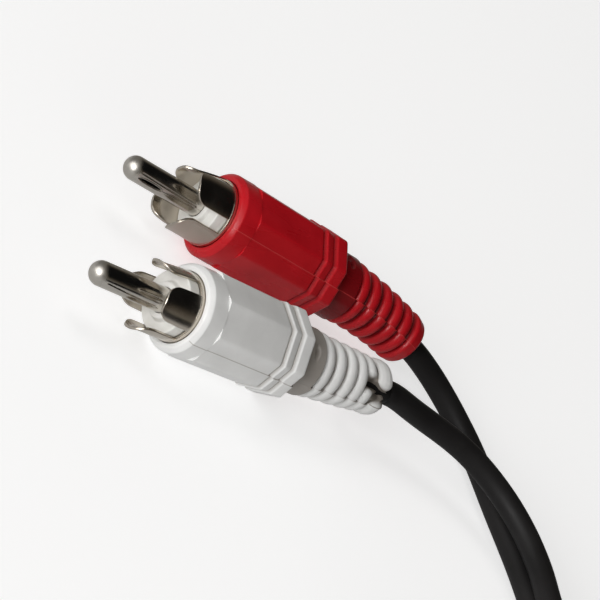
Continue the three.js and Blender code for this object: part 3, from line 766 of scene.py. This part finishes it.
STRAP_WALL, STRAP_CORNER = 0.55, 1.0
low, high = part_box("coil_tie")
outer_y = COIL_Y + MIDDLE_Y - (COIL_R + 2.5 * COIL_PITCH + 0.5 * CORD_D + 0.8)
inner_y = COIL_Y + MIDDLE_Y - (COIL_R + 0.5 * COIL_PITCH - 0.5 * CORD_D - 1.2)
low_z, high_z = low.z / MM, high.z / MM
turn = np.radians(np.linspace(0.0, 90.0, 6))
loop_y, loop_z = [], []
for start, corner_y, corner_z, to_y, to_z in (
    (180.0, outer_y, low_z, 1, 1), (270.0, inner_y, low_z, -1, 1),
    (0.0, inner_y, high_z, -1, -1), (90.0, outer_y, high_z, 1, -1),
):
    angle = math.radians(start) + turn
    loop_y.append(corner_y + STRAP_CORNER * (to_y + np.cos(angle)))
    loop_z.append(corner_z + STRAP_CORNER * (to_z + np.sin(angle)))
loop_y, loop_z = np.concatenate(loop_y), np.concatenate(loop_z)
middle_y, middle_z = loop_y.mean(), loop_z.mean()
in_y = middle_y + (loop_y - middle_y) * (1 - 2 * STRAP_WALL / (inner_y - outer_y))
in_z = middle_z + (loop_z - middle_z) * (1 - 2 * STRAP_WALL / (high_z - low_z))
rings = [
    np.stack([np.full(len(ring_y), x_side / MM), ring_y, ring_z], axis=1)
    for x_side, ring_y, ring_z in (
        (low.x, in_y, in_z), (low.x, loop_y, loop_z), (high.x, loop_y, loop_z), (high.x, in_y, in_z))
]
strap = grid_mesh("strap", np.stack(rings), False)
edge = strap.modifiers.new("edge", "BEVEL")
edge.width = 0.12 * MM
edge.segments = 2
edge.limit_method = "ANGLE"
strap.data.materials.append(tie_finish)
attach(strap, root)
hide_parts("coil_tie")

# The names of the pieces on each cord's loose end: the far plug's pieces, and with the red cord the strap.
# The lists are not used further.
FAR_PARTS = ("grip", "jacket_end", "contact", "centre_pin", "disc", "conductor", "screen")
for cord_name, (cord, line, length) in cord_pieces.items():
    far_parts = [f"{cord_name}_far_{part}" for part in FAR_PARTS]
    if cord_name == "red":
        far_parts.append("strap")

# The surface and the light.
# A pale sheet under the lead that gives off a little light, a broad soft lamp and a smaller bright
# one ahead of the plugs' tips, weaker ones low at their side and above, and a dim room, which the
# plated parts show as dark bands.

# The sheet's own light, as the camera sees it, and the shares of it that gloss and pieces get.
GLOW, GLOW_IN_GLOSS, GLOW_ON_PIECES = 0.60, 0.25, 0.65

ground = bpy.data.meshes.new("ground")
ground.from_pydata([(-6, -6, 0), (6, -6, 0), (6, 6, 0), (-6, 6, 0)], [], [(0, 1, 2, 3)])
floor = bpy.data.objects.new("ground", ground)
bpy.context.scene.collection.objects.link(floor)
floor.location = (0.0, 0.0, -0.0002)
paper, tree, sheet_skin = shader("pale_paper")
sheet_skin.inputs["Base Color"].default_value = (0.62, 0.62, 0.62, 1.0)
sheet_skin.inputs["Roughness"].default_value = 0.9
sheet_skin.inputs["Specular IOR Level"].default_value = 0.0
glow = tree.nodes.new("ShaderNodeEmission")
glow.inputs["Color"].default_value = (1.0, 1.0, 1.0, 1.0)
ray = tree.nodes.new("ShaderNodeLightPath")
seen = link_math(tree, "MAXIMUM", ray.outputs["Is Camera Ray"], ray.outputs["Is Transmission Ray"])
seen = link_math(tree, "MULTIPLY_ADD", ray.outputs["Is Glossy Ray"], GLOW_IN_GLOSS, seen)
seen = link_math(tree, "MULTIPLY_ADD", ray.outputs["Is Diffuse Ray"], GLOW_ON_PIECES, seen)
tree.links.new(link_math(tree, "MULTIPLY", seen, GLOW), glow.inputs["Strength"])
both = tree.nodes.new("ShaderNodeAddShader")
tree.links.new(sheet_skin.outputs[0], both.inputs[0])
tree.links.new(glow.outputs[0], both.inputs[1])
tree.links.new(both.outputs[0], tree.nodes["Material Output"].inputs["Surface"])
ground.materials.append(paper)

room = bpy.data.worlds.new("room")
bpy.context.scene.world = room
room.use_nodes = True
tree = room.node_tree
sky = tree.nodes["Background"]
way = tree.nodes.new("ShaderNodeTexCoord")
toward = tree.nodes.new("ShaderNodeVectorMath")
toward.operation = "DOT_PRODUCT"
toward.inputs[1].default_value = (0.10, 0.62, 0.78)
tree.links.new(way.outputs["Generated"], toward.inputs[0])
shade = link_ramp(tree, toward.outputs["Value"], [
    (0.0, (0.34, 0.33, 0.32)), (0.58, (0.34, 0.32, 0.28)), (0.70, (0.17, 0.145, 0.115)),
    (0.80, (0.045, 0.038, 0.03)), (0.86, (0.012, 0.012, 0.012)),
])
tree.links.new(shade, sky.inputs["Color"])
sky.inputs["Strength"].default_value = 0.52


def soft_lamp(name, place, size, watts, in_gloss=True):
    """A round soft lamp that faces the middle of the near plugs."""
    data = bpy.data.lights.new(name, "AREA")
    data.shape = "DISK"
    data.size = size
    data.energy = watts
    lamp = bpy.data.objects.new(name, data)
    lamp.visible_glossy = in_gloss
    bpy.context.scene.collection.objects.link(lamp)
    back = np.array(place) / np.linalg.norm(place)
    right = np.cross((0.0, 0.0, 1.0), back)
    right /= np.linalg.norm(right)
    up = np.cross(back, right)
    lamp.matrix_world = Matrix([*zip(right, up, back, place), (0.0, 0.0, 0.0, 1.0)])


soft_lamp("ahead", (0.14, -0.93, 0.26), 1.3, 8.4)
soft_lamp("bright", (0.33, -0.80, 0.26), 0.34, 2.5)
soft_lamp("beside", (0.88, -0.15, 0.19), 0.36, 0.6, in_gloss=False)
soft_lamp("above", (-0.5, -0.1, 0.8), 0.5, 1.2, in_gloss=False)
